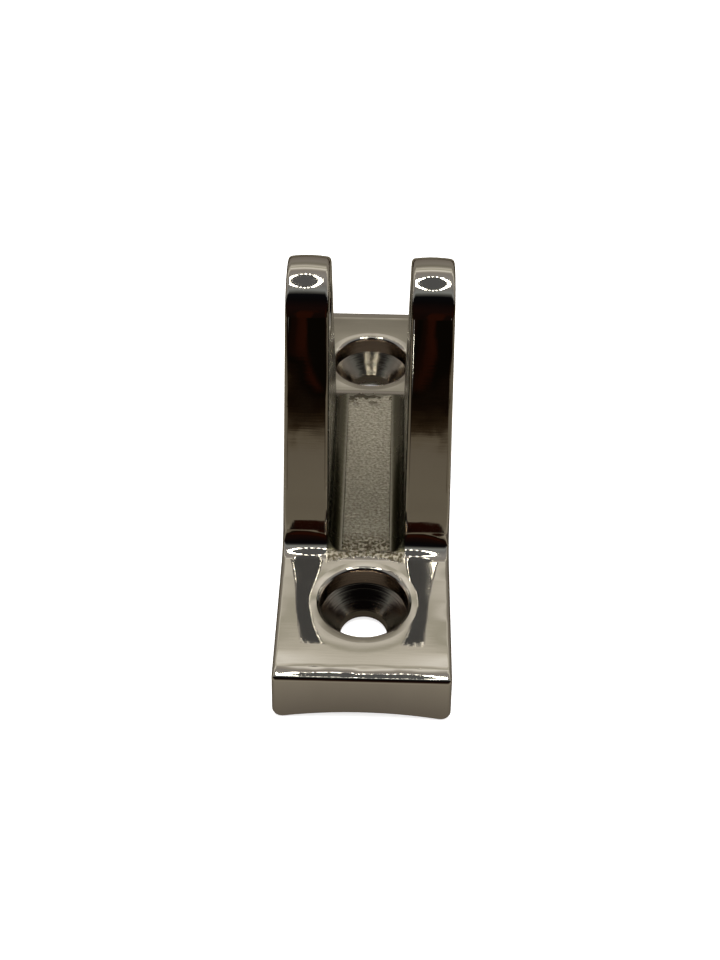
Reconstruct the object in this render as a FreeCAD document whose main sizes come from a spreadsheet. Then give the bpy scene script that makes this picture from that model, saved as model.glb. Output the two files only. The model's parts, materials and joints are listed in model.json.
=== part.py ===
import FreeCAD, Part
import math
import os

import Sketcher

# Deck hinge base, cast in stainless steel as one piece and polished.
# Two upright ears with a slot between them rise from a low base bar. A pin
# crosses the ears, and a countersunk screw goes down near each end of the bar.
# Frame: +X across the ears along the pin, +Y along the bar, +Z up. The origin
# is at the middle of the bar, level with the two edges that it rests on.
# Lengths are in millimetres and angles in degrees.

SIZES = [
    # Base bar: its length is taken at the underside, its width at the top
    ("base_length", 64.8),
    ("base_width", 19.05),
    ("base_height", 6.5),
    ("end_lean", 3.7),
    ("side_draft", 1.0),
    ("hollow_depth", 0.8),
    ("foot_edge_round", 1.1),
    # The top of the bar rolls over towards each end, and drops to a crisp edge
    ("end_roll_radius", 3.5),
    ("end_roll_drop", 0.33),
    # Ears: the pin's height is taken from the top of the bar. The crown's circle
    # is centred a little above the pin
    ("pin_height", 24.1),
    ("crown_rise", 0.9),
    ("crown_radius", 5.1),
    ("ear_foot_length", 30.1),
    ("ear_foot_round", 2.85),
    # The crown is domed across each ear, its crest a hair inside the crown's
    # circle. The doming fades over this share of the flank, down from the crown
    ("dome_radius", 14.0),
    ("dome_sink", 0.01),
    ("dome_fade", 0.8),
    # Slot between the ears: its width is taken at the pin, and its floor is left
    # as cast, a little proud of the polished top of the bar
    ("slot_width", 8.7),
    ("slot_draft", 0.2),
    ("slot_floor_rise", 0.15),
    ("slot_floor_round", 1.5),
    # Pin hole, and screw holes with flat land between them and the ears' feet
    ("pin_hole_diameter", 6.2),
    ("screw_land", 1.2),
    ("screw_hole_diameter", 5.3),
    ("screw_head_diameter", 9.8),
    ("screw_head_depth", 2.35),
    ("screw_cone_angle", 90.0),
    # Polishing has worn the top of the bar down a little round each recess
    ("screw_dish_depth", 0.08),
    # Edges, as polishing leaves them
    ("end_top_round", 0.6),
    ("outer_edge_round", 0.5),
    ("slot_edge_round", 0.45),
    ("screw_rim_round", 0.4),
    ("pin_rim_round", 0.25),
    # How far the blank and the cuts reach past the finished metal
    ("cut_margin", 3.0),
]

# Heights and lengths that several features share
TOP_Z = "Sizes.base_height"
FLOOR_Z = "(Sizes.base_height + Sizes.slot_floor_rise)"
PIN_Z = "(Sizes.base_height + Sizes.pin_height)"
CROWN_HEIGHT = "(Sizes.pin_height + Sizes.crown_rise)"
CROWN_Z = "(Sizes.base_height + %s)" % CROWN_HEIGHT
BLANK_Z = "(%s + Sizes.crown_radius + Sizes.cut_margin)" % CROWN_Z
MARGIN = "Sizes.cut_margin"
END_SLOPE = "tan(Sizes.end_lean * 1deg)"
BELOW_END_Y = "(Sizes.base_length / 2 + Sizes.cut_margin * %s)" % END_SLOPE
END_TOP_Z = "(Sizes.base_height - Sizes.end_roll_drop)"
TOP_END_Y = "(Sizes.base_length / 2 - %s * %s)" % (END_TOP_Z, END_SLOPE)
CUT_Y = "(Sizes.base_length / 2 + 2 * Sizes.cut_margin)"
SCREW_Y = "(Sizes.ear_foot_length / 2 + Sizes.screw_land + Sizes.screw_head_diameter / 2)"
MID_EAR_X = "(Sizes.slot_width + Sizes.base_width) / 4"

# The worn dish takes up most of the land between a recess and the ears' foot
DISH_REACH = "(Sizes.screw_head_diameter / 2 + 0.9 * Sizes.screw_land)"
RIM_Z = "(Sizes.base_height - Sizes.screw_dish_depth)"

# The flank touches the crown's circle from one side and the foot's from the
# other. Its lean is taken from the upright.
FOOT_DROP = "(Sizes.ear_foot_round - %s)" % CROWN_HEIGHT
FOOT_Y = "(Sizes.ear_foot_length / 2)"
FLANK_LEAN = (
    "(atan2({0}; {1}) + acos((Sizes.crown_radius + Sizes.ear_foot_round) / hypot({0}; {1})))"
).format(FOOT_DROP, FOOT_Y)
FLANK_FALL = (
    "(%s - Sizes.ear_foot_round"
    " + (Sizes.crown_radius + Sizes.ear_foot_round) * sin(%s))"
) % (CROWN_HEIGHT, FLANK_LEAN)
FLANK_REACH = "(%s - (Sizes.crown_radius + Sizes.ear_foot_round) * cos(%s))" % (FOOT_Y, FLANK_LEAN)

# The domes are centred on the ears at the crown's centre, and reach a tenth past
# each side of an ear
CROWN_EAR_X = (
    "((Sizes.slot_width + Sizes.base_width) / 4 - %s * tan(Sizes.side_draft * 1deg) / 2)"
) % CROWN_HEIGHT
DOME_REACH = "(Sizes.base_width - Sizes.slot_width) / 4 * 1.1"

# Places on a sketch element, and the sketch's own origin and upright axis
START, END, CENTRE = range(1, 4)
ORIGIN = (-1, 1)
UPRIGHT = -2

# Faces that meet at less than this run into each other smoothly, and points
# nearer than this are at one height
SMOOTH_ANGLE = math.radians(5)
SAME_HEIGHT = 0.01

document = FreeCAD.newDocument("DeckHinge")
sheet = document.addObject("Spreadsheet::Sheet", "Sizes")
for row, (alias, value) in enumerate(SIZES, start=1):
    sheet.set("A%d" % row, alias)
    sheet.set("B%d" % row, str(value))
    sheet.setAlias("B%d" % row, alias)
document.recompute()

body = document.addObject("PartDesign::Body", "HingeBase")
body.Label = "hinge_base"
document.recompute()


def size(formula):
    """The present value of a formula of the named sizes."""
    value = sheet.evalExpression(formula)
    return float(getattr(value, "Value", value))


def origin_plane(role):
    """One of the body's own origin planes."""
    for feature in body.Origin.OriginFeatures:
        if feature.Role == role:
            return feature
    raise ValueError("no origin plane " + role)


def new_sketch(name, role, elements):
    """A sketch on one of the origin planes, with its lines and arcs."""
    sketch = body.newObject("Sketcher::SketchObject", name)
    sketch.AttachmentSupport = [(origin_plane(role), "")]
    sketch.MapMode = "FlatFace"
    for element in elements:
        sketch.addGeometry(element, False)
    return sketch


def point(across, up):
    return FreeCAD.Vector(across, up, 0)


def line(first, last):
    return Part.LineSegment(point(*first), point(*last))


def arc(centre, radius, first_angle, last_angle):
    """An arc that runs anticlockwise between two angles in degrees."""
    circle = Part.Circle(point(*centre), FreeCAD.Vector(0, 0, 1), radius)
    return Part.ArcOfCircle(circle, math.radians(first_angle), math.radians(last_angle))


def rule(sketch, kind, *where):
    """A geometric constraint, such as Tangent or Symmetric."""
    sketch.addConstraint(Sketcher.Constraint(kind, *where))


def measure(sketch, kind, formula, *where):
    """A dimension of the sketch that follows the named sizes."""
    value = size(formula)
    if kind == "Angle":
        value = math.radians(value)
    index = sketch.addConstraint(Sketcher.Constraint(kind, *where, value))
    sketch.setExpression("Constraints[%d]" % index, formula)


def finish_sketch(sketch):
    """Recompute, and insist that the sketch is solved with nothing left free."""
    document.recompute()
    if sketch.solve() != 0 or not sketch.FullyConstrained:
        raise RuntimeError(sketch.Name + " is not fully constrained")


def cut_changed(feature):
    """A cut that points away from the metal removes nothing and shows no error."""
    document.recompute()
    before = feature.BaseFeature.Shape.Volume
    if before - feature.Shape.Volume < 1.0:
        raise RuntimeError(feature.Name + " removed nothing")


def end_view_blank():
    """The bar and ears seen along the bar: one profile, drawn out lengthwise.

    Both sides are single flat faces that lean in towards the top. The underside
    is hollowed by one long arc between two rounded edges. The slot is a drafted
    U whose floor the outline cut later blends into the top of the bar.
    """
    height = size(TOP_Z)
    floor_z = size(FLOOR_Z)
    top = size(BLANK_Z)
    lean_in = math.tan(math.radians(size("Sizes.side_draft")))
    slot_lean = math.tan(math.radians(size("Sizes.slot_draft")))
    edge = size("Sizes.foot_edge_round")
    hollow = size("Sizes.hollow_depth")
    floor_round = size("Sizes.slot_floor_round")
    half_width = size("Sizes.base_width / 2")
    half_slot = size("Sizes.slot_width / 2")

    foot_x = half_width + height * lean_in
    top_x = half_width - (top - height) * lean_in
    edge_x = foot_x - edge
    reach = (edge_x ** 2 + hollow ** 2) / (2 * hollow)
    hollow_radius = reach - edge
    spread = math.degrees(math.asin(edge_x / reach))
    slot_top_x = half_slot + (top - size(PIN_Z)) * slot_lean
    slot_foot_x = half_slot - (size(PIN_Z) - floor_z) * slot_lean
    floor_x = slot_foot_x - floor_round
    draft = size("Sizes.side_draft")
    slot_draft = size("Sizes.slot_draft")

    (hollow_arc, edge_right, side_right, rim_right, slot_right,
     round_right, floor, round_left, slot_left,
     rim_left, side_left, edge_left,
     crest, width_mark, slot_mark) = range(15)
    sketch = new_sketch("EndView", "XZ_Plane", [
        arc((0, hollow - hollow_radius), hollow_radius, 90 - spread, 90 + spread),
        arc((edge_x, edge), edge, 270 - spread, 360 + draft),
        line((foot_x, edge), (top_x, top)),
        line((top_x, top), (slot_top_x, top)),
        line((slot_foot_x, floor_z + floor_round), (slot_top_x, top)),
        arc((floor_x, floor_z + floor_round), floor_round, 270, 360 - slot_draft),
        line((floor_x, floor_z), (-floor_x, floor_z)),
        arc((-floor_x, floor_z + floor_round), floor_round, 180 + slot_draft, 270),
        line((-slot_foot_x, floor_z + floor_round), (-slot_top_x, top)),
        line((-slot_top_x, top), (-top_x, top)),
        line((-top_x, top), (-foot_x, edge)),
        arc((-edge_x, edge), edge, 180 - draft, 270 + spread),
        Part.Point(point(0, hollow)),
        Part.Point(point(half_width, height)),
        Part.Point(point(half_slot, size(PIN_Z))),
    ])
    for mark in (crest, width_mark, slot_mark):
        sketch.setConstruction(mark, True)

    rule(sketch, "Tangent", hollow_arc, START, edge_right, START)
    rule(sketch, "Tangent", edge_right, END, side_right, START)
    rule(sketch, "Coincident", side_right, END, rim_right, START)
    rule(sketch, "Coincident", rim_right, END, slot_right, END)
    rule(sketch, "Tangent", slot_right, START, round_right, END)
    rule(sketch, "Tangent", round_right, START, floor, START)
    rule(sketch, "Tangent", floor, END, round_left, END)
    rule(sketch, "Tangent", round_left, START, slot_left, START)
    rule(sketch, "Coincident", slot_left, END, rim_left, START)
    rule(sketch, "Coincident", rim_left, END, side_left, START)
    rule(sketch, "Tangent", side_left, END, edge_left, START)
    rule(sketch, "Tangent", edge_left, END, hollow_arc, END)
    rule(sketch, "Horizontal", rim_right)
    rule(sketch, "Symmetric", side_right, END, side_left, START, UPRIGHT)
    rule(sketch, "Symmetric", slot_right, END, slot_left, END, UPRIGHT)
    rule(sketch, "Symmetric", floor, START, floor, END, UPRIGHT)
    rule(sketch, "Symmetric", edge_right, CENTRE, edge_left, CENTRE, UPRIGHT)
    rule(sketch, "Equal", round_right, round_left)
    rule(sketch, "PointOnObject", hollow_arc, CENTRE, UPRIGHT)

    measure(sketch, "Radius", "Sizes.foot_edge_round", edge_right)
    measure(sketch, "DistanceY", "Sizes.foot_edge_round", *ORIGIN, edge_right, CENTRE)
    rule(sketch, "PointOnObject", crest, START, UPRIGHT)
    rule(sketch, "PointOnObject", crest, START, hollow_arc)
    measure(sketch, "DistanceY", "Sizes.hollow_depth", *ORIGIN, crest, START)

    rule(sketch, "PointOnObject", width_mark, START, side_right)
    measure(sketch, "DistanceY", TOP_Z, *ORIGIN, width_mark, START)
    measure(sketch, "DistanceX", "Sizes.base_width / 2", *ORIGIN, width_mark, START)
    measure(sketch, "Angle", "(90 + Sizes.side_draft) * 1deg", side_right)
    measure(sketch, "DistanceY", BLANK_Z, *ORIGIN, side_right, END)

    rule(sketch, "PointOnObject", slot_mark, START, slot_right)
    measure(sketch, "DistanceY", PIN_Z, *ORIGIN, slot_mark, START)
    measure(sketch, "DistanceX", "Sizes.slot_width / 2", *ORIGIN, slot_mark, START)
    measure(sketch, "Angle", "(90 - Sizes.slot_draft) * 1deg", slot_right)
    measure(sketch, "Radius", "Sizes.slot_floor_round", round_right)
    measure(sketch, "DistanceY", FLOOR_Z, *ORIGIN, floor, START)
    finish_sketch(sketch)

    blank = body.newObject("PartDesign::Pad", "Blank")
    blank.Profile = sketch
    blank.SideType = "Symmetric"
    blank.setExpression("Length", "2 * " + CUT_Y)
    document.recompute()
    return blank


def side_view_cut():
    """The outline seen along the pin: all the metal outside it is cut away.

    The bar's ends lean out towards the underside, and its top rolls over above
    them. Each ear rises from a round foot, narrows along two flanks and ends in
    a round crown over the pin.
    """
    height = size(TOP_Z)
    crown_z = size(CROWN_Z)
    crown = size("Sizes.crown_radius")
    foot_y = size("Sizes.ear_foot_length / 2")
    foot = size("Sizes.ear_foot_round")
    below = -size(MARGIN)
    below_y = size(BELOW_END_Y)
    end_y = size(TOP_END_Y)
    end_z = size(END_TOP_Z)
    roll = size("Sizes.end_roll_radius")
    turn = math.acos(1 - (height - end_z) / roll)
    top_y = end_y - roll * math.sin(turn)
    roll_end = 90 - math.degrees(turn)
    cut_y = size(CUT_Y)
    cut_top = size(BLANK_Z + " + " + MARGIN)

    lean_angle = size(FLANK_LEAN)
    lean = math.radians(lean_angle)
    out_y, out_z = math.cos(lean), math.sin(lean)
    flank_foot = (foot_y - foot * out_y, height + foot - foot * out_z)
    flank_top = (crown * out_y, crown_z + crown * out_z)

    (underside, end_right, roll_right, top_right, foot_right, flank_right,
     crown_arc, flank_left, foot_left, top_left, roll_left, end_left,
     frame_low, frame_right, frame_high, frame_left) = range(16)
    sketch = new_sketch("SideView", "YZ_Plane", [
        line((-below_y, below), (below_y, below)),
        line((below_y, below), (end_y, end_z)),
        arc((top_y, height - roll), roll, roll_end, 90),
        line((top_y, height), (foot_y, height)),
        arc((foot_y, height + foot), foot, 180 + lean_angle, 270),
        line(flank_foot, flank_top),
        arc((0, crown_z), crown, lean_angle, 180 - lean_angle),
        line((-flank_top[0], flank_top[1]), (-flank_foot[0], flank_foot[1])),
        arc((-foot_y, height + foot), foot, 270, 360 - lean_angle),
        line((-foot_y, height), (-top_y, height)),
        arc((-top_y, height - roll), roll, 90, 180 - roll_end),
        line((-end_y, end_z), (-below_y, below)),
        line((-cut_y, 2 * below), (cut_y, 2 * below)),
        line((cut_y, 2 * below), (cut_y, cut_top)),
        line((cut_y, cut_top), (-cut_y, cut_top)),
        line((-cut_y, cut_top), (-cut_y, 2 * below)),
    ])
    rule(sketch, "Coincident", underside, END, end_right, START)
    rule(sketch, "Coincident", end_right, END, roll_right, START)
    rule(sketch, "Tangent", roll_right, END, top_right, START)
    rule(sketch, "Tangent", top_right, END, foot_right, END)
    rule(sketch, "Tangent", foot_right, START, flank_right, START)
    rule(sketch, "Tangent", flank_right, END, crown_arc, START)
    rule(sketch, "Tangent", crown_arc, END, flank_left, START)
    rule(sketch, "Tangent", flank_left, END, foot_left, END)
    rule(sketch, "Tangent", foot_left, START, top_left, START)
    rule(sketch, "Tangent", top_left, END, roll_left, START)
    rule(sketch, "Coincident", roll_left, END, end_left, START)
    rule(sketch, "Coincident", end_left, END, underside, START)
    rule(sketch, "Horizontal", top_right)
    rule(sketch, "Horizontal", top_left)
    rule(sketch, "Symmetric", underside, START, underside, END, UPRIGHT)
    rule(sketch, "Symmetric", end_right, END, end_left, START, UPRIGHT)
    rule(sketch, "Symmetric", top_right, END, top_left, START, UPRIGHT)
    rule(sketch, "PointOnObject", crown_arc, CENTRE, UPRIGHT)
    rule(sketch, "Equal", foot_right, foot_left)
    rule(sketch, "Equal", roll_right, roll_left)
    measure(sketch, "DistanceY", MARGIN, underside, END, *ORIGIN)
    measure(sketch, "DistanceX", BELOW_END_Y, *ORIGIN, underside, END)
    measure(sketch, "DistanceY", END_TOP_Z, *ORIGIN, end_right, END)
    measure(sketch, "DistanceX", TOP_END_Y, *ORIGIN, end_right, END)
    measure(sketch, "Radius", "Sizes.end_roll_radius", roll_right)
    measure(sketch, "DistanceY", TOP_Z, *ORIGIN, top_right, END)
    measure(sketch, "DistanceX", FOOT_Y, *ORIGIN, top_right, END)
    measure(sketch, "Radius", "Sizes.ear_foot_round", foot_right)
    measure(sketch, "Radius", "Sizes.crown_radius", crown_arc)
    measure(sketch, "DistanceY", CROWN_Z, *ORIGIN, crown_arc, CENTRE)

    rule(sketch, "Coincident", frame_low, END, frame_right, START)
    rule(sketch, "Coincident", frame_right, END, frame_high, START)
    rule(sketch, "Coincident", frame_high, END, frame_left, START)
    rule(sketch, "Coincident", frame_left, END, frame_low, START)
    rule(sketch, "Horizontal", frame_high)
    rule(sketch, "Vertical", frame_right)
    rule(sketch, "Symmetric", frame_low, START, frame_low, END, UPRIGHT)
    measure(sketch, "DistanceY", "2 * " + MARGIN, frame_low, END, *ORIGIN)
    measure(sketch, "DistanceX", CUT_Y + " + " + MARGIN, *ORIGIN, frame_low, END)
    measure(sketch, "DistanceY", BLANK_Z + " + " + MARGIN, *ORIGIN, frame_high, START)
    rule(sketch, "Vertical", frame_left)
    finish_sketch(sketch)

    cut = body.newObject("PartDesign::Pocket", "SideCut")
    cut.Profile = sketch
    cut.SideType = "Symmetric"
    cut.setExpression("Length", "Sizes.base_width + 4 * " + MARGIN)
    cut_changed(cut)
    return cut


def dome_section(name, share, crest, domed):
    """The space outside both ears, as a section square to the flank.

    The section is a share of the way down the flank from the crown. Its crest is
    taken from an origin that lies as far inside the flank as the crown's centre. The
    side towards the ears is two arcs where it is domed, and otherwise straight.
    """
    across = "%s * %s" % (share, FLANK_REACH)
    height = "%s - %s * %s" % (CROWN_Z, share, FLANK_FALL)
    tilt = "90deg - " + FLANK_LEAN
    roof_y = size("Sizes.crown_radius + " + MARGIN)
    bend = size("Sizes.dome_radius")
    middle = size(crest) - bend
    ear_x = size(CROWN_EAR_X)
    reach = size(DOME_REACH)
    inner_x, outer_x = ear_x - reach, ear_x + reach
    spread = math.degrees(math.asin(reach / bend))
    low = middle + bend * math.cos(math.radians(spread))
    if domed:
        over_left = arc((-ear_x, middle), bend, 90 - spread, 90 + spread)
        over_right = arc((ear_x, middle), bend, 90 - spread, 90 + spread)
    else:
        over_left = line((-inner_x, low), (-outer_x, low))
        over_right = line((outer_x, low), (inner_x, low))

    ear_left, bridge, ear_right, side_right, roof, side_left = range(6)
    sketch = new_sketch(name, "XZ_Plane", [
        over_left,
        line((-inner_x, low), (inner_x, low)),
        over_right,
        line((outer_x, low), (outer_x, roof_y)),
        line((outer_x, roof_y), (-outer_x, roof_y)),
        line((-outer_x, roof_y), (-outer_x, low)),
    ])
    turned = FreeCAD.Rotation(FreeCAD.Vector(1, 0, 0), size(tilt))
    sketch.AttachmentOffset = FreeCAD.Placement(FreeCAD.Vector(0, size(height), size(across)), turned)
    sketch.setExpression("AttachmentOffset.Base.y", height)
    sketch.setExpression("AttachmentOffset.Base.z", across)
    sketch.setExpression("AttachmentOffset.Rotation.Angle", tilt)

    rule(sketch, "Coincident", ear_left, START, bridge, START)
    rule(sketch, "Coincident", bridge, END, ear_right, END)
    rule(sketch, "Coincident", ear_right, START, side_right, START)
    rule(sketch, "Coincident", side_right, END, roof, START)
    rule(sketch, "Coincident", roof, END, side_left, START)
    rule(sketch, "Coincident", side_left, END, ear_left, END)
    rule(sketch, "Vertical", side_right)
    rule(sketch, "Vertical", side_left)
    rule(sketch, "Horizontal", roof)
    inner, outer = CROWN_EAR_X + " - " + DOME_REACH, CROWN_EAR_X + " + " + DOME_REACH
    measure(sketch, "DistanceX", inner, *ORIGIN, bridge, END)
    measure(sketch, "DistanceX", inner, bridge, START, *ORIGIN)
    measure(sketch, "DistanceX", outer, *ORIGIN, ear_right, START)
    measure(sketch, "DistanceX", outer, ear_left, END, *ORIGIN)
    measure(sketch, "DistanceY", "Sizes.crown_radius + " + MARGIN, *ORIGIN, side_right, END)
    if domed:
        rule(sketch, "Equal", ear_left, ear_right)
        rule(sketch, "Symmetric", ear_left, CENTRE, ear_right, CENTRE, UPRIGHT)
        measure(sketch, "Radius", "Sizes.dome_radius", ear_right)
        measure(sketch, "DistanceX", CROWN_EAR_X, *ORIGIN, ear_right, CENTRE)
        measure(sketch, "DistanceY", "Sizes.dome_radius - (%s)" % crest, ear_right, CENTRE, *ORIGIN)
    else:
        for straight in (ear_left, bridge, ear_right):
            rule(sketch, "Horizontal", straight)
        measure(sketch, "DistanceY", crest, *ORIGIN, bridge, END)
    finish_sketch(sketch)
    return sketch


def domed_ears():
    """The narrow faces of the ears: domed round the crown, fading down the flanks."""
    sunk = "Sizes.crown_radius - Sizes.dome_sink"
    clear = "Sizes.crown_radius + Sizes.dome_sink"
    at_crown = dome_section("CrownSection", "0", sunk, domed=True)
    at_fade = dome_section("FadeSection", "Sizes.dome_fade", sunk, domed=False)
    at_foot = dome_section("FootSection", "1", clear, domed=False)

    crown = body.newObject("PartDesign::Groove", "CrownDome")
    crown.Profile = at_crown
    crown.ReferenceAxis = (at_crown, ["H_Axis"])
    crown.setExpression("Angle", "180deg - 2 * " + FLANK_LEAN)
    crown.Reversed = True
    cut_changed(crown)

    flank = body.newObject("PartDesign::SubtractiveLoft", "FlankDome")
    flank.Profile = at_crown
    flank.Sections = [at_fade, at_foot]
    flank.Ruled = True
    cut_changed(flank)

    pair = body.newObject("PartDesign::Mirrored", "FlankDomePair")
    pair.Originals = [flank]
    pair.MirrorPlane = (origin_plane("XZ_Plane"), [""])
    body.Tip = pair
    document.recompute()
    return pair


def pin_hole():
    """The hole for the pin, straight through both ears."""
    sketch = new_sketch("PinHoleOutline", "YZ_Plane", [
        Part.Circle(point(0, size(PIN_Z)), FreeCAD.Vector(0, 0, 1), 1),
    ])
    rule(sketch, "PointOnObject", 0, CENTRE, UPRIGHT)
    measure(sketch, "DistanceY", PIN_Z, *ORIGIN, 0, CENTRE)
    measure(sketch, "Diameter", "Sizes.pin_hole_diameter", 0)
    finish_sketch(sketch)

    hole = body.newObject("PartDesign::Pocket", "PinHole")
    hole.Profile = sketch
    hole.SideType = "Symmetric"
    hole.setExpression("Length", "Sizes.base_width + 4 * " + MARGIN)
    cut_changed(hole)
    return hole


def screw_holes():
    """Two countersunk holes: a straight recess for the head, a cone, a bore.

    The top of the bar falls away towards each of them along a long arc.
    """
    height = size(TOP_Z)
    screw_y = size(SCREW_Y)
    bore = size("Sizes.screw_hole_diameter / 2")
    head = size("Sizes.screw_head_diameter / 2")
    head_z = height - size("Sizes.screw_head_depth")
    half_cone = math.radians(size("Sizes.screw_cone_angle / 2"))
    bore_z = head_z - (head - bore) / math.tan(half_cone)
    low, high = -size(MARGIN), height + size(MARGIN)
    rim_z = size(RIM_Z)
    reach = size(DISH_REACH)
    bend = ((reach - head) ** 2 + (height - rim_z) ** 2) / (2 * (height - rim_z))
    spread = math.degrees(math.asin((reach - head) / bend))

    foot, bore_wall, cone, head_wall, dish, rise, mouth, middle, axis = range(9)
    sketch = new_sketch("ScrewHoleSection", "YZ_Plane", [
        line((screw_y, low), (screw_y + bore, low)),
        line((screw_y + bore, low), (screw_y + bore, bore_z)),
        line((screw_y + bore, bore_z), (screw_y + head, head_z)),
        line((screw_y + head, head_z), (screw_y + head, rim_z)),
        arc((screw_y + reach, height - bend), bend, 90, 90 + spread),
        line((screw_y + reach, height), (screw_y + reach, high)),
        line((screw_y + reach, high), (screw_y, high)),
        line((screw_y, high), (screw_y, low)),
        line((screw_y, low), (screw_y, high)),
    ])
    sketch.setConstruction(axis, True)
    rule(sketch, "Coincident", foot, END, bore_wall, START)
    rule(sketch, "Coincident", bore_wall, END, cone, START)
    rule(sketch, "Coincident", cone, END, head_wall, START)
    rule(sketch, "Coincident", head_wall, END, dish, END)
    rule(sketch, "Coincident", dish, START, rise, START)
    rule(sketch, "Coincident", rise, END, mouth, START)
    rule(sketch, "Coincident", mouth, END, middle, START)
    rule(sketch, "Coincident", middle, END, foot, START)
    rule(sketch, "Coincident", axis, START, foot, START)
    rule(sketch, "Coincident", axis, END, mouth, END)
    rule(sketch, "Horizontal", foot)
    rule(sketch, "Horizontal", mouth)
    rule(sketch, "Vertical", middle)
    rule(sketch, "Vertical", bore_wall)
    rule(sketch, "Vertical", head_wall)
    rule(sketch, "Vertical", rise)
    rule(sketch, "Vertical", dish, CENTRE, dish, START)
    measure(sketch, "DistanceX", SCREW_Y, *ORIGIN, foot, START)
    measure(sketch, "DistanceY", MARGIN, foot, START, *ORIGIN)
    measure(sketch, "DistanceY", TOP_Z + " + " + MARGIN, *ORIGIN, mouth, END)
    measure(sketch, "DistanceX", "Sizes.screw_hole_diameter / 2", foot, START, foot, END)
    measure(sketch, "DistanceX", "Sizes.screw_head_diameter / 2", middle, END, cone, END)
    measure(sketch, "DistanceX", DISH_REACH, mouth, END, mouth, START)
    measure(sketch, "DistanceY", TOP_Z, *ORIGIN, dish, START)
    measure(sketch, "DistanceY", RIM_Z, *ORIGIN, dish, END)
    measure(sketch, "DistanceY", TOP_Z + " - Sizes.screw_head_depth", *ORIGIN, cone, END)
    measure(sketch, "Angle", "(90 - Sizes.screw_cone_angle / 2) * 1deg", cone)
    finish_sketch(sketch)

    hole = body.newObject("PartDesign::Groove", "ScrewHole")
    hole.Profile = sketch
    hole.ReferenceAxis = (sketch, ["Axis0"])
    hole.Angle = 360
    cut_changed(hole)

    pair = body.newObject("PartDesign::Mirrored", "ScrewHolePair")
    pair.Originals = [hole]
    pair.MirrorPlane = (origin_plane("XZ_Plane"), [""])
    body.Tip = pair
    document.recompute()
    return pair


def sharp_edges(feature, wanted):
    """The names of a feature's sharp edges whose middle point is wanted.

    Where two faces run into each other smoothly there is nothing to round.
    """
    shape = feature.Shape
    names = []
    for index, edge in enumerate(shape.Edges, start=1):
        middle = edge.valueAt((edge.FirstParameter + edge.LastParameter) / 2)
        normals = []
        for face in shape.ancestorsOfType(edge, Part.Face):
            normals.append(face.normalAt(*face.Surface.parameter(middle)))
        if len(normals) != 2 or normals[0].getAngle(normals[1]) < SMOOTH_ANGLE:
            continue
        if wanted(middle):
            names.append("Edge%d" % index)
    return names


def round_edges(name, base, radius, wanted):
    """A fillet on the sharp edges of the feature before it that are wanted."""
    fillet = body.newObject("PartDesign::Fillet", name)
    fillet.Base = (base, sharp_edges(base, wanted))
    fillet.setExpression("Radius", radius)
    document.recompute()
    if fillet.Shape.isNull() or not fillet.Shape.isValid():
        raise RuntimeError(name + " could not be rounded")
    return fillet


def is_screw_rim(middle):
    return abs(middle.z - size(RIM_Z)) < SAME_HEIGHT


def is_end_top(middle):
    at_end = abs(middle.z - size(END_TOP_Z)) < SAME_HEIGHT
    return at_end and abs(middle.x) < size(MID_EAR_X)


def is_outer(middle):
    return abs(middle.x) > size(MID_EAR_X) or middle.z < size(TOP_Z) / 2


def is_inner_ear(middle):
    return abs(middle.x) < size(MID_EAR_X) and middle.z > size(TOP_Z)


def is_pin_rim(middle):
    reach = math.hypot(middle.y, middle.z - size(PIN_Z))
    return reach < size("(Sizes.pin_hole_diameter / 2 + Sizes.crown_radius) / 2")


# The casting: the profile drawn out, the outline cut and domed, the edges rounded
end_view_blank()
side_view_cut()
domed = domed_ears()
ends_rounded = round_edges("EndTops", domed, "Sizes.end_top_round", is_end_top)
outside_rounded = round_edges("OuterEdges", ends_rounded, "Sizes.outer_edge_round", is_outer)
round_edges("SlotEdges", outside_rounded, "Sizes.slot_edge_round", is_inner_ear)

# The machined holes, with the rims that polishing leaves
pin_bored = pin_hole()
round_edges("PinRims", pin_bored, "Sizes.pin_rim_round", is_pin_rim)
countersunk = screw_holes()
rims_rounded = round_edges("ScrewRims", countersunk, "Sizes.screw_rim_round", is_screw_rim)
body.Tip = rims_rounded
document.recompute()

failed = []
for item in document.Objects:
    if "Invalid" in item.State or "Error" in item.State:
        failed.append(item.Name)
if failed:
    raise RuntimeError("failed features: " + ", ".join(failed))
if body.Shape.isNull() or not body.Shape.isValid():
    raise RuntimeError("the solid is not valid")

os.makedirs("parts", exist_ok=True)
body.Shape.exportStep("parts/%s.step" % body.Label)
box = body.Shape.BoundBox
print("hinge_base %.2f x %.2f x %.2f mm" % (box.XLength, box.YLength, box.ZLength))
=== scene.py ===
import json
import math

import bmesh
import bpy
from mathutils import Matrix, Vector, noise


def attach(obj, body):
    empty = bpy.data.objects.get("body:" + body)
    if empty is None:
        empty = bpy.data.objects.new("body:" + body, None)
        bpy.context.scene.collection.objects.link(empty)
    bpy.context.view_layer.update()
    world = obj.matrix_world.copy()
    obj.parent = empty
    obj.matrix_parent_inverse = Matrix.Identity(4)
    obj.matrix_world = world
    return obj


# The polished deck hinge base on a white floor, seen from above its near end.
# Lengths are in metres and angles in degrees unless a name says otherwise.
# +X runs across the ears, +Y along the bar away from the camera, +Z up.

MM = 0.001

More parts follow.
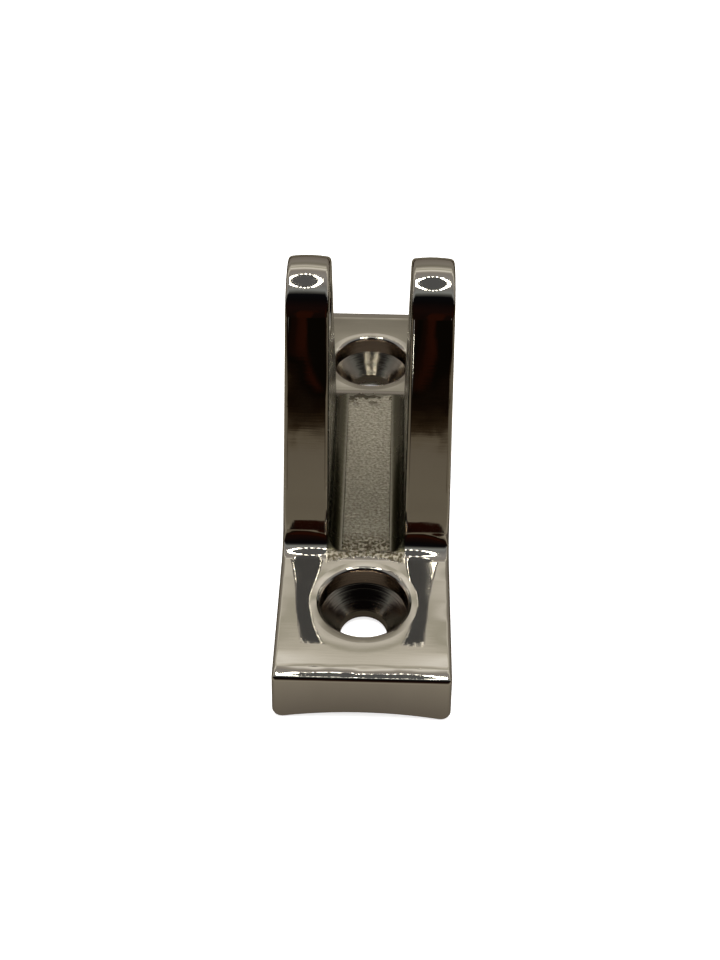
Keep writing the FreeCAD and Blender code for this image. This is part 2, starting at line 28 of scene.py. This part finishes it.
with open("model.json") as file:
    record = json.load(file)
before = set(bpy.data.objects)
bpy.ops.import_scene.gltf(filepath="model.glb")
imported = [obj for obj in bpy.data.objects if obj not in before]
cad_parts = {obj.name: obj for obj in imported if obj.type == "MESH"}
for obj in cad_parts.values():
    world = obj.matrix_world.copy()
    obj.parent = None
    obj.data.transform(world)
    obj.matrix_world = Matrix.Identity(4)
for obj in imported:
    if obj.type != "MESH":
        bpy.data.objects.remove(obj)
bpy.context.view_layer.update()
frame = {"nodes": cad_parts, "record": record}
hinge = frame["nodes"]["hinge_base"]
scene = bpy.context.scene


def new_material(name):
    material = bpy.data.materials.new(name)
    material.use_nodes = True
    material.node_tree.nodes.clear()
    return material


def add_node(tree, kind, **settings):
    """A shader node with its properties set, and its inputs where they are named."""
    node = tree.nodes.new(kind)
    for key, value in settings.items():
        if key in node.inputs:
            node.inputs[key].default_value = value
        else:
            setattr(node, key, value)
    return node


def math_node(tree, operation, *inputs):
    """A Math node; each input is a number or another node's output."""
    node = tree.nodes.new("ShaderNodeMath")
    node.operation = operation
    for socket, value in zip(node.inputs, inputs):
        if isinstance(value, bpy.types.NodeSocket):
            tree.links.new(value, socket)
        else:
            socket.default_value = value
    return node.outputs[0]


def smooth_step(tree, value, low, high, first=0.0, last=1.0):
    """A smooth step of a value from one level to another."""
    node = add_node(tree, "ShaderNodeMapRange", interpolation_type="SMOOTHSTEP")
    tree.links.new(value, node.inputs["Value"])
    node.inputs["From Min"].default_value = low
    node.inputs["From Max"].default_value = high
    node.inputs["To Min"].default_value = first
    node.inputs["To Max"].default_value = last
    return node.outputs["Result"]


def light_stops(tree, measure, stops, reach):
    """The light that belongs to a measure, by stops that each pair a level with one."""
    ramp = add_node(tree, "ShaderNodeValToRGB")
    tree.links.new(math_node(tree, "DIVIDE", measure, reach), ramp.inputs[0])
    elements = ramp.color_ramp.elements
    while len(elements) < len(stops):
        elements.new(0.5)
    for element, (level, light) in zip(elements, stops):
        element.position = level / reach
        element.color = (*light, 1)
    return ramp.outputs[0]


# Camera: its place, tilt and angle of view

CAMERA_PLACE = Vector((1.31, -124.3, 123.2)) * MM
CAMERA_PITCH = 43.6
CAMERA_YAW = -1.05
CAMERA_ROLL = -0.57
FOCAL_PIXELS = 1405.0
IMAGE_HEIGHT = 960.0
SENSOR = 36.0


def make_camera():
    pitch = math.radians(CAMERA_PITCH)
    yaw = math.radians(CAMERA_YAW)
    roll = math.radians(CAMERA_ROLL)
    forward = Vector((
        math.sin(yaw) * math.cos(pitch),
        math.cos(yaw) * math.cos(pitch),
        -math.sin(pitch),
    ))
    level = Vector((math.cos(yaw), -math.sin(yaw), 0))
    down = forward.cross(level)
    right = math.cos(roll) * level + math.sin(roll) * down
    down = math.cos(roll) * down - math.sin(roll) * level
    turn = Matrix((right, -down, -forward)).transposed()
    data = bpy.data.cameras.new("Camera")
    data.sensor_width = SENSOR
    data.sensor_height = SENSOR
    data.lens = SENSOR * FOCAL_PIXELS / IMAGE_HEIGHT
    data.clip_start = 0.005
    camera = bpy.data.objects.new("Camera", data)
    camera.matrix_world = Matrix.Translation(CAMERA_PLACE) @ turn.to_4x4()
    scene.collection.objects.link(camera)
    scene.camera = camera


make_camera()

# Surroundings that the polish mirrors. The angle goes over the part from the
# near horizon at 0, through straight up at 90, to the far horizon at 180. Each
# stop is an angle and a warm grey light.

SKY_STOPS = [
    (0, (0.006, 0.003, 0.002)),
    (20, (0.010, 0.004, 0.003)),
    (40, (0.004, 0.003, 0.003)),
    (55, (0.004, 0.004, 0.005)),
    (60, (0.10, 0.10, 0.09)),
    (66, (0.28, 0.29, 0.28)),
    (80, (0.23, 0.22, 0.21)),
    (100, (0.34, 0.32, 0.30)),
    (118, (0.32, 0.29, 0.26)),
    (122, (0.42, 0.38, 0.32)),
    (126, (0.98, 0.93, 0.83)),
    (129, (0.72, 0.67, 0.56)),
    (131, (0.44, 0.41, 0.32)),
    (134, (0.74, 0.69, 0.59)),
    (140, (0.38, 0.35, 0.28)),
    (144, (0.25, 0.225, 0.18)),
    (155, (0.29, 0.26, 0.22)),
    (180, (0.20, 0.17, 0.14)),
]
BROWN = (0.022, 0.005, 0.002)


def brown_patches(tree, direction, colour, amount):
    """Faint warm patches low in front of the part, over a colour."""
    level = add_node(tree, "ShaderNodeVectorMath", operation="NORMALIZE")
    tree.links.new(direction, level.inputs[0])
    patches = add_node(tree, "ShaderNodeTexNoise", Scale=3.4, Detail=2.0)
    tree.links.new(level.outputs[0], patches.inputs["Vector"])
    cut = smooth_step(tree, patches.outputs["Fac"], 0.50, 0.66)
    mix = add_node(tree, "ShaderNodeMix", data_type="RGBA")
    tree.links.new(math_node(tree, "MULTIPLY", cut, amount), mix.inputs["Factor"])
    tree.links.new(colour, mix.inputs[6])
    mix.inputs[7].default_value = (*BROWN, 1)
    return mix.outputs[2]


def make_world():
    world = bpy.data.worlds.new("World")
    scene.world = world
    world.use_nodes = True
    tree = world.node_tree
    tree.nodes.clear()
    place = add_node(tree, "ShaderNodeTexCoord")
    split = add_node(tree, "ShaderNodeSeparateXYZ")
    tree.links.new(place.outputs["Generated"], split.inputs[0])
    toward = math_node(tree, "MULTIPLY", split.outputs["Y"], -1)
    angle = math_node(tree, "ARCTAN2", split.outputs["Z"], toward)
    angle = math_node(tree, "DEGREES", angle)
    light = light_stops(tree, angle, SKY_STOPS, 180)
    low_front = smooth_step(tree, angle, 20, 8)
    tinted = brown_patches(tree, place.outputs["Generated"], light, low_front)
    mirrored = add_node(tree, "ShaderNodeBackground")
    tree.links.new(tinted, mirrored.inputs["Color"])
    white = add_node(tree, "ShaderNodeBackground", Color=(1, 1, 1, 1))
    rays = add_node(tree, "ShaderNodeLightPath")
    mix = add_node(tree, "ShaderNodeMixShader")
    tree.links.new(rays.outputs["Is Camera Ray"], mix.inputs[0])
    tree.links.new(mirrored.outputs[0], mix.inputs[1])
    tree.links.new(white.outputs[0], mix.inputs[2])
    out = add_node(tree, "ShaderNodeOutputWorld")
    tree.links.new(mix.outputs[0], out.inputs["Surface"])


make_world()

# Floor: white to the eye, with the part's faint shadow, and in shade where it
# shows through the far screw hole. The polish mirrors a darker table top that
# lies on it, lit round the part and dark farther off.

FAR_HOLE = (0, 22 * MM, 0)
FAR_HOLE_SHADE = (6 * MM, 9 * MM)
FLOOR_GLOW = 0.8


def make_floor():
    bpy.ops.mesh.primitive_plane_add(size=4)
    floor = bpy.context.object
    floor.name = "floor"
    material = new_material("white_floor")
    tree = material.node_tree
    diffuse = add_node(tree, "ShaderNodeBsdfDiffuse", Color=(0.85, 0.85, 0.85, 1))
    glow = add_node(tree, "ShaderNodeEmission", Color=(1, 1, 1, 1))
    rays = add_node(tree, "ShaderNodeLightPath")
    place = add_node(tree, "ShaderNodeTexCoord")
    from_hole = add_node(tree, "ShaderNodeVectorMath", operation="DISTANCE")
    tree.links.new(place.outputs["Object"], from_hole.inputs[0])
    from_hole.inputs[1].default_value = FAR_HOLE
    lit = smooth_step(tree, from_hole.outputs["Value"], *FAR_HOLE_SHADE, 0.0, FLOOR_GLOW)
    strength = math_node(tree, "MULTIPLY", rays.outputs["Is Camera Ray"], lit)
    tree.links.new(strength, glow.inputs["Strength"])
    both = add_node(tree, "ShaderNodeAddShader")
    tree.links.new(diffuse.outputs[0], both.inputs[0])
    tree.links.new(glow.outputs[0], both.inputs[1])
    out = add_node(tree, "ShaderNodeOutputMaterial")
    tree.links.new(both.outputs[0], out.inputs["Surface"])
    floor.data.materials.append(material)


make_floor()

# Table top: each stop is a distance from the middle of the part and a light

# The card's light and shade are painted: a painted shadow of the part darkens it under and just
# round the part, it is brightest a little way out, and dark farther off.
TABLE_STOPS = [
    (0.0, (0.05, 0.042, 0.034)),
    (0.030, (0.10, 0.085, 0.065)),
    (0.034, (0.17, 0.145, 0.115)),
    (0.041, (0.34, 0.30, 0.235)),
    (0.062, (0.175, 0.15, 0.108)),
    (0.130, (0.155, 0.13, 0.095)),
    (0.152, (0.13, 0.105, 0.07)),
    (0.166, (0.03, 0.018, 0.008)),
    (0.200, (0.008, 0.004, 0.002)),
    (0.260, (0.003, 0.002, 0.001)),
]
TABLE_REACH = 0.260
TABLE_HEIGHT = 0.03 * MM
BEHIND_REACH = 0.06
BROWN_REACH = 0.40


def hide_from_all_but_mirrors(card):
    card.visible_camera = False
    card.visible_diffuse = False
    card.visible_shadow = False
    card.visible_transmission = False


def make_table_top():
    """A dim card just above the floor that only the polish sees."""
    mesh = bpy.data.meshes.new("table_top")
    shape = bmesh.new()
    bmesh.ops.create_grid(shape, x_segments=1, y_segments=1, size=2)
    bmesh.ops.translate(shape, verts=shape.verts, vec=(0, 0, TABLE_HEIGHT))
    shape.to_mesh(mesh)
    shape.free()
    card = bpy.data.objects.new("table_top", mesh)
    scene.collection.objects.link(card)
    material = new_material("dim_table_top")
    tree = material.node_tree
    place = add_node(tree, "ShaderNodeTexCoord")
    in_front = add_node(tree, "ShaderNodeVectorMath", operation="MINIMUM")
    tree.links.new(place.outputs["Object"], in_front.inputs[0])
    in_front.inputs[1].default_value = (10, 0, 10)
    distance = add_node(tree, "ShaderNodeVectorMath", operation="LENGTH")
    tree.links.new(in_front.outputs[0], distance.inputs[0])
    split = add_node(tree, "ShaderNodeSeparateXYZ")
    tree.links.new(place.outputs["Object"], split.inputs[0])
    behind = math_node(tree, "MAXIMUM", split.outputs["Y"], 0.0)
    behind = math_node(tree, "MINIMUM", behind, BEHIND_REACH)
    away = math_node(tree, "ADD", distance.outputs["Value"], behind)
    light = light_stops(tree, away, TABLE_STOPS, TABLE_REACH)
    far_off = smooth_step(tree, distance.outputs["Value"], TABLE_REACH, BROWN_REACH)
    tinted = brown_patches(tree, place.outputs["Object"], light, far_off)
    glow = add_node(tree, "ShaderNodeEmission")
    tree.links.new(tinted, glow.inputs["Color"])
    out = add_node(tree, "ShaderNodeOutputMaterial")
    tree.links.new(glow.outputs[0], out.inputs["Surface"])
    card.data.materials.append(material)
    hide_from_all_but_mirrors(card)


make_table_top()

# Lamp: a ring of small bright lights high above the part, and a wide soft light
# over everything

RING_CENTRE = Vector((0, -10, 286)) * MM
RING_RADIUS = Vector((64, 85, 0)) * MM
RING_LIGHTS = 22
BULB_RADIUS = 4.6 * MM
BULB_LIGHT = 11.0
TUBE_RADIUS = 4.6 * MM
TUBE_LIGHT = 22.0
TUBE_TURN = 56
TUBE_STEPS = 14
TUBE_SIDES = 6
PLATE_LIGHT = 0.115
PLATE_RISE = Vector((0, 0, 6)) * MM
PLATE_STEPS = 64


def on_ring(turn):
    return RING_CENTRE + RING_RADIUS * Vector((math.cos(turn), math.sin(turn), 0))


def glowing(name, shape, strength, colour=(1, 0.96, 0.82)):
    """A lamp's mesh that only the polish sees."""
    mesh = bpy.data.meshes.new(name)
    shape.to_mesh(mesh)
    shape.free()
    lamp = bpy.data.objects.new(name, mesh)
    scene.collection.objects.link(lamp)
    material = new_material(name + "_glow")
    tree = material.node_tree
    glow = add_node(tree, "ShaderNodeEmission", Color=(*colour, 1), Strength=strength)
    out = add_node(tree, "ShaderNodeOutputMaterial")
    tree.links.new(glow.outputs[0], out.inputs["Surface"])
    lamp.data.materials.append(material)
    hide_from_all_but_mirrors(lamp)


def make_bulbs():
    bulbs = bmesh.new()
    for count in range(RING_LIGHTS):
        place = Matrix.Translation(on_ring(2 * math.pi * (count + 0.5) / RING_LIGHTS))
        bmesh.ops.create_icosphere(bulbs, subdivisions=2, radius=BULB_RADIUS, matrix=place)
    glowing("lamp_bulbs", bulbs, BULB_LIGHT)


def make_tubes():
    """Glowing tubes that follow the ring at its two sides."""
    tubes = bmesh.new()
    for middle in (0, 180):
        hoops = []
        for step in range(-TUBE_STEPS, TUBE_STEPS + 1):
            turn = math.radians(middle + TUBE_TURN * step / TUBE_STEPS)
            outward = Vector((math.cos(turn), math.sin(turn), 0))
            hoop = []
            for side in range(TUBE_SIDES):
                bend = 2 * math.pi * side / TUBE_SIDES
                offset = outward * math.cos(bend) + Vector((0, 0, math.sin(bend)))
                hoop.append(tubes.verts.new(on_ring(turn) + offset * TUBE_RADIUS))
            hoops.append(hoop)
        for first, second in zip(hoops, hoops[1:]):
            for side in range(TUBE_SIDES):
                after = (side + 1) % TUBE_SIDES
                tubes.faces.new((first[side], first[after], second[after], second[side]))
    glowing("lamp_tubes", tubes, TUBE_LIGHT)


def make_plate():
    """The dim plate that closes the ring, just above it."""
    plate = bmesh.new()
    rim = []
    for step in range(PLATE_STEPS):
        place = on_ring(2 * math.pi * step / PLATE_STEPS)
        rim.append(plate.verts.new(place + PLATE_RISE))
    plate.faces.new(rim)
    glowing("lamp_plate", plate, PLATE_LIGHT, (1, 1, 1))


make_bulbs()
make_tubes()
make_plate()


def make_soft_light():
    data = bpy.data.lights.new("soft_light", "AREA")
    data.shape = "DISK"
    data.size = 0.9
    data.energy = 9.0
    data.color = (1, 0.98, 0.95)
    lamp = bpy.data.objects.new("soft_light", data)
    lamp.location = (0, 0, 0.8)
    lamp.visible_glossy = False
    scene.collection.objects.link(lamp)


make_soft_light()


# Metal: one procedural steel whose finish depends on the place on the casting.
# Places are in millimetres from here on, in the part's own frame.

mounts = {mount["name"]: mount for mount in frame["record"]["mounts"]}
SCREW_Y = mounts["screw_holes"]["dims"]["spacing_y_mm"] / 2
RECESS_REACH = 4.96
DISH_REACH = 7.56
EAR_X = 6.9
COARSE_DARK = (0.11, 0.095, 0.07)
COARSE_LIGHT = (0.44, 0.41, 0.35)


class Steel:
    """A material's node tree, with short names for the nodes that it needs."""

    def __init__(self, name):
        self.material = new_material(name)
        self.tree = self.material.node_tree
        self.place = add_node(self.tree, "ShaderNodeTexCoord").outputs["Object"]
        scaled = add_node(self.tree, "ShaderNodeVectorMath", operation="SCALE", Scale=1000.0)
        self.tree.links.new(self.place, scaled.inputs[0])
        self.place = scaled.outputs[0]
        split = add_node(self.tree, "ShaderNodeSeparateXYZ")
        self.tree.links.new(self.place, split.inputs[0])
        self.x, self.y, self.z = split.outputs
        self.across = self.math("ABSOLUTE", self.x)
        self.along = self.math("ABSOLUTE", self.y)

    def math(self, operation, *inputs):
        return math_node(self.tree, operation, *inputs)

    def ramp(self, value, low, high, first=0.0, last=1.0):
        return smooth_step(self.tree, value, low, high, first, last)

    def total(self, *terms):
        result = terms[0]
        for term in terms[1:]:
            result = self.math("ADD", result, term)
        return result

    def product(self, *factors):
        result = factors[0]
        for factor in factors[1:]:
            result = self.math("MULTIPLY", result, factor)
        return result

    def hypotenuse(self, first, second):
        squares = self.total(self.product(first, first), self.product(second, second))
        return self.math("SQRT", squares)

    def noise(self, scale, detail=2.0, stretch=(1, 1, 1)):
        """Soft noise from 0 to 1, scale being its waves in a millimetre."""
        node = add_node(self.tree, "ShaderNodeTexNoise", Scale=scale, Detail=detail)
        moved = add_node(self.tree, "ShaderNodeVectorMath", operation="MULTIPLY")
        self.tree.links.new(self.place, moved.inputs[0])
        moved.inputs[1].default_value = stretch
        self.tree.links.new(moved.outputs[0], node.inputs["Vector"])
        return node.outputs["Fac"]

    def line_noise(self, value, scale, detail=3.0):
        """Noise along one measure only."""
        node = add_node(self.tree, "ShaderNodeTexNoise", Scale=scale, Detail=detail)
        node.noise_dimensions = "1D"
        self.tree.links.new(value, node.inputs["W"])
        return node.outputs["Fac"]

    def mix_colour(self, share, first, last):
        node = add_node(self.tree, "ShaderNodeMix", data_type="RGBA")
        self.tree.links.new(share, node.inputs["Factor"])
        for socket, colour in zip((node.inputs[6], node.inputs[7]), (first, last)):
            if isinstance(colour, bpy.types.NodeSocket):
                self.tree.links.new(colour, socket)
            else:
                socket.default_value = (*colour, 1)
        return node.outputs[2]

    def finish(self, colour, roughness, height):
        """The shader itself; height is in millimetres."""
        shader = add_node(self.tree, "ShaderNodeBsdfPrincipled", Metallic=1.0)
        bump = add_node(self.tree, "ShaderNodeBump", Strength=1.0, Distance=MM)
        self.tree.links.new(height, bump.inputs["Height"])
        self.tree.links.new(bump.outputs[0], shader.inputs["Normal"])
        self.tree.links.new(colour, shader.inputs["Base Color"])
        self.tree.links.new(roughness, shader.inputs["Roughness"])
        out = add_node(self.tree, "ShaderNodeOutputMaterial")
        self.tree.links.new(shader.outputs[0], out.inputs["Surface"])
        return self.material


def polished_steel():
    steel = Steel("polished_steel")

    # Distance from the nearer screw hole's axis
    off = steel.math("SUBTRACT", steel.along, SCREW_Y)
    reach = steel.hypotenuse(steel.x, off)
    recess = steel.product(
        steel.ramp(reach, RECESS_REACH, RECESS_REACH + 0.06, 1, 0),
        steel.ramp(steel.z, 6.15, 6.35, 1, 0),
    )

    # The slot: its side walls and the rounds at their feet
    in_slot = steel.product(
        steel.ramp(steel.across, 4.40, 4.52, 1, 0),
        steel.ramp(steel.z, 6.56, 6.7),
        steel.ramp(steel.along, 14.6, 15.0, 1, 0),
    )

    # Relief, in millimetres: slow waves of hand polishing and its fine lines
    waves = steel.product(steel.noise(0.33, 1.0), steel.ramp(steel.z, 6.6, 10.0, 0.005, 0.012))
    lines = steel.total(
        steel.product(steel.noise(1.0, 3.0, (5.0, 0.5, 0.5)), 0.0012),
        steel.product(steel.noise(1.0, 3.0, (0.3, 3.0, 4.0)), 0.0012),
    )
    turned = steel.product(recess, steel.line_noise(steel.z, 9.0), 0.014)
    cast = steel.product(in_slot, steel.noise(1.6, 4.0, (1, 1, 0.4)), 0.035)

    # The top sinks towards each recess, most at the near one
    span = steel.hypotenuse(steel.total(steel.x, 0.24), off)
    fall = steel.math("MAXIMUM", steel.math("SUBTRACT", DISH_REACH, span), 0.0)
    aside = steel.ramp(steel.across, 3.0, 4.8, 0.12, 1.0)
    outwards = steel.ramp(off, -4.5, -2.0)
    dish = steel.product(
        fall, fall, -0.0124,
        steel.ramp(steel.y, 10, 12, 1.0, 0.15),
        steel.math("MAXIMUM", aside, outwards),
        steel.ramp(steel.z, 6.52, 7.6, 1, 0),
        steel.ramp(steel.z, 6.1, 6.3),
    )
    foot = steel.ramp(steel.z, 9.0, 13.0, 0.075, 0)

    # Polishing has crowned the bar's top and the ears' narrow faces a little
    # across, and each crown leans a hair
    side = steel.math("ABSOLUTE", steel.total(steel.x, 0.6))
    side = steel.math("SMOOTH_MAX", side, 3.2, 1.0)
    crest = steel.total(
        steel.ramp(steel.along, 14.0, 18.5, 6.30, 6.10),
        steel.ramp(steel.along, 18.0, 21.0, 0.0, 0.32),
        steel.ramp(steel.along, 21.0, 24.0, 0.0, -0.31),
        steel.ramp(steel.along, 24.0, 27.5, 0.0, -0.60),
    )
    bend = steel.total(
        steel.ramp(steel.z, 7.2, 8.5, 0.041, 0.0),
        steel.ramp(steel.z, 28.0, 32.0, 0.0, 0.014),
        steel.ramp(steel.along, 15.5, 18.0, 0.0, -0.0098),
        steel.ramp(steel.along, 18.0, 21.0, 0.0, 0.0045),
        steel.ramp(steel.along, 21.0, 24.0, 0.0, -0.0163),
        steel.ramp(steel.along, 24.0, 27.5, 0.0, -0.0086),
    )
    from_crest = steel.math("SUBTRACT", side, crest)
    crowned = steel.product(from_crest, from_crest, bend, -0.5)
    leaning = steel.product(
        steel.math("SUBTRACT", steel.across, EAR_X),
        steel.ramp(steel.x, -1.0, 1.0, 0.063, 0.037),
        steel.ramp(steel.z, 24.0, 30.0),
    )

    # The rolled ends: crowned across, and uneven
    rolled = steel.product(steel.x, steel.x, steel.ramp(steel.along, 28.2, 31.6, 0.0, -0.001))
    uneven = steel.product(
        steel.noise(0.42, 1.0, (1, 0.25, 0.25)),
        steel.ramp(steel.along, 30.0, 31.8, 0.0, 0.125),
    )

    # Rough skin beyond the slot floor's near end, with a ragged edge
    arch = steel.total(steel.product(steel.x, steel.x, 0.045), 14.45)
    ragged = steel.product(steel.noise(1.7, 4.0), 1.2)
    skin = steel.product(
        steel.ramp(steel.total(steel.y, arch, ragged), 0.46, 0.60),
        steel.ramp(steel.y, -13.6, -13.9),
        steel.ramp(steel.across, 4.2, 4.5, 1, 0),
        steel.ramp(steel.z, 7.0, 7.3, 1, 0),
    )
    rough = steel.product(skin, steel.noise(4.0, 4.0), 0.09)
    height = steel.total(
        waves, lines, turned, cast, dish, foot, crowned, leaning, rolled, uneven, rough
    )

    # Finish: mirror bright, rougher in the slot, turned in the recesses
    haze = steel.ramp(steel.noise(0.25, 4.0), 0.35, 0.75, 0.03, 0.075)
    roughness = steel.total(
        haze,
        steel.product(recess, 0.02),
        steel.product(in_slot, 0.22),
        steel.product(skin, 0.30),
    )

    tone = steel.mix_colour(steel.noise(0.12, 3.0), (0.60, 0.58, 0.54), (0.66, 0.64, 0.61))
    # The slot's walls are darker than the polish: partly the cast surface's own tone, and partly
    # painted shade that darkens them down towards the slot floor and towards the near end.
    low = steel.mix_colour(steel.ramp(steel.y, -8.0, 6.0), (0.095, 0.09, 0.06), (0.135, 0.13, 0.10))
    slot_tone_and_shade = steel.mix_colour(steel.ramp(steel.z, 8.0, 32.0), low, (0.40, 0.39, 0.35))
    tone = steel.mix_colour(in_slot, tone, slot_tone_and_shade)
    # In the screw recesses the bore below the cone is painted dark, a painted shade; the cone is a
    # warmer tone.
    cone_or_wall = steel.ramp(steel.z, 4.0, 4.3)
    recess_tone_and_shade = steel.mix_colour(cone_or_wall, (0.38, 0.35, 0.30), (0.62, 0.53, 0.46))
    tone = steel.mix_colour(recess, tone, recess_tone_and_shade)
    grains = steel.ramp(steel.noise(3.4, 3.0), 0.42, 0.62)
    tone = steel.mix_colour(skin, tone, steel.mix_colour(grains, COARSE_DARK, COARSE_LIGHT))
    return steel.finish(tone, roughness, height)


hinge.data.materials.clear()
hinge.data.materials.append(polished_steel())

# Slot floor: the rough skin of the casting, a thin patch that breaks up at both
# ends where the polish has reached it

SKIN_Z = 6.65
SKIN_HALF_WIDTH = 2.80
SKIN_REACH = 14.4
SKIN_STEP = 0.09
SKIN_BORDER = 0.15
SKIN_ROUGH_END = 11.0


def rough_steel():
    steel = Steel("cast_steel")
    grain = steel.noise(3.0, 6.0, (1.0, 1.3, 1.0))
    far_end = steel.ramp(steel.y, 11.2, 13.2)
    near_end = steel.ramp(steel.y, -10.0, -13.0)
    blotches = steel.noise(0.75, 4.0)
    pits = steel.product(steel.ramp(blotches, 0.47, 0.53), far_end)
    coarse = steel.noise(3.4, 3.0)
    height = steel.total(
        steel.product(grain, 0.085),
        steel.product(steel.noise(1.5, 2.0), 0.03),
        steel.product(pits, -0.05),
        steel.product(near_end, coarse, 0.09),
    )
    roughness = steel.ramp(blotches, 0.3, 0.7, 0.30, 0.42)
    tone = steel.mix_colour(steel.ramp(grain, 0.35, 0.65), (0.34, 0.32, 0.27), (0.60, 0.58, 0.52))
    # Painted shade: the slot floor is darker towards its near end.
    tone = steel.mix_colour(steel.ramp(steel.y, 2.0, -8.0, 0.0, 0.30), tone, (0.12, 0.11, 0.09))
    tone = steel.mix_colour(pits, tone, (0.10, 0.09, 0.07))
    coarse_tone = steel.mix_colour(steel.ramp(coarse, 0.42, 0.62), COARSE_DARK, COARSE_LIGHT)
    tone = steel.mix_colour(near_end, tone, coarse_tone)
    return steel.finish(tone, roughness, height)


def skin_height(x, y):
    """The skin's height over the bar: grainy, and sinking away at its border."""
    grain = noise.fractal(Vector((x * 2.6, y * 2.2, 0.0)), 0.9, 2.1, 4)
    lumps = noise.noise(Vector((x * 0.9, y * 0.9, 5.0)))
    side = max(0.0, abs(x) - (SKIN_HALF_WIDTH - SKIN_BORDER)) / SKIN_BORDER
    reach = SKIN_REACH + 0.5 * noise.noise(Vector((x * 1.1, y * 0.2, 9.0)))
    end = max(0.0, abs(y) - (reach - 1.0))
    rough_end = max(0.0, abs(y) - SKIN_ROUGH_END) / (SKIN_REACH - SKIN_ROUGH_END)
    sink = 0.12 * side ** 2 + 0.16 * end ** 1.5
    return SKIN_Z + 0.04 + 0.03 * grain + (0.012 + 0.05 * rough_end) * lumps - sink


def make_slot_floor():
    mesh = bpy.data.meshes.new("cast_slot_floor")
    shape = bmesh.new()
    columns = round(2 * SKIN_HALF_WIDTH / SKIN_STEP)
    rows = round(2 * SKIN_REACH / SKIN_STEP)
    grid = []
    for row in range(rows + 1):
        y = SKIN_REACH * (2 * row / rows - 1)
        line = []
        for column in range(columns + 1):
            x = SKIN_HALF_WIDTH * (2 * column / columns - 1)
            line.append(shape.verts.new(Vector((x, y, skin_height(x, y))) * MM))
        grid.append(line)
    for low, high in zip(grid, grid[1:]):
        for column in range(columns):
            shape.faces.new((low[column], low[column + 1], high[column + 1], high[column]))
    for face in shape.faces:
        face.smooth = True
    shape.to_mesh(mesh)
    shape.free()
    patch = bpy.data.objects.new("cast_slot_floor", mesh)
    scene.collection.objects.link(patch)
    patch.data.materials.append(rough_steel())
    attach(patch, "root")


make_slot_floor()

scene.view_settings.view_transform = "Standard"
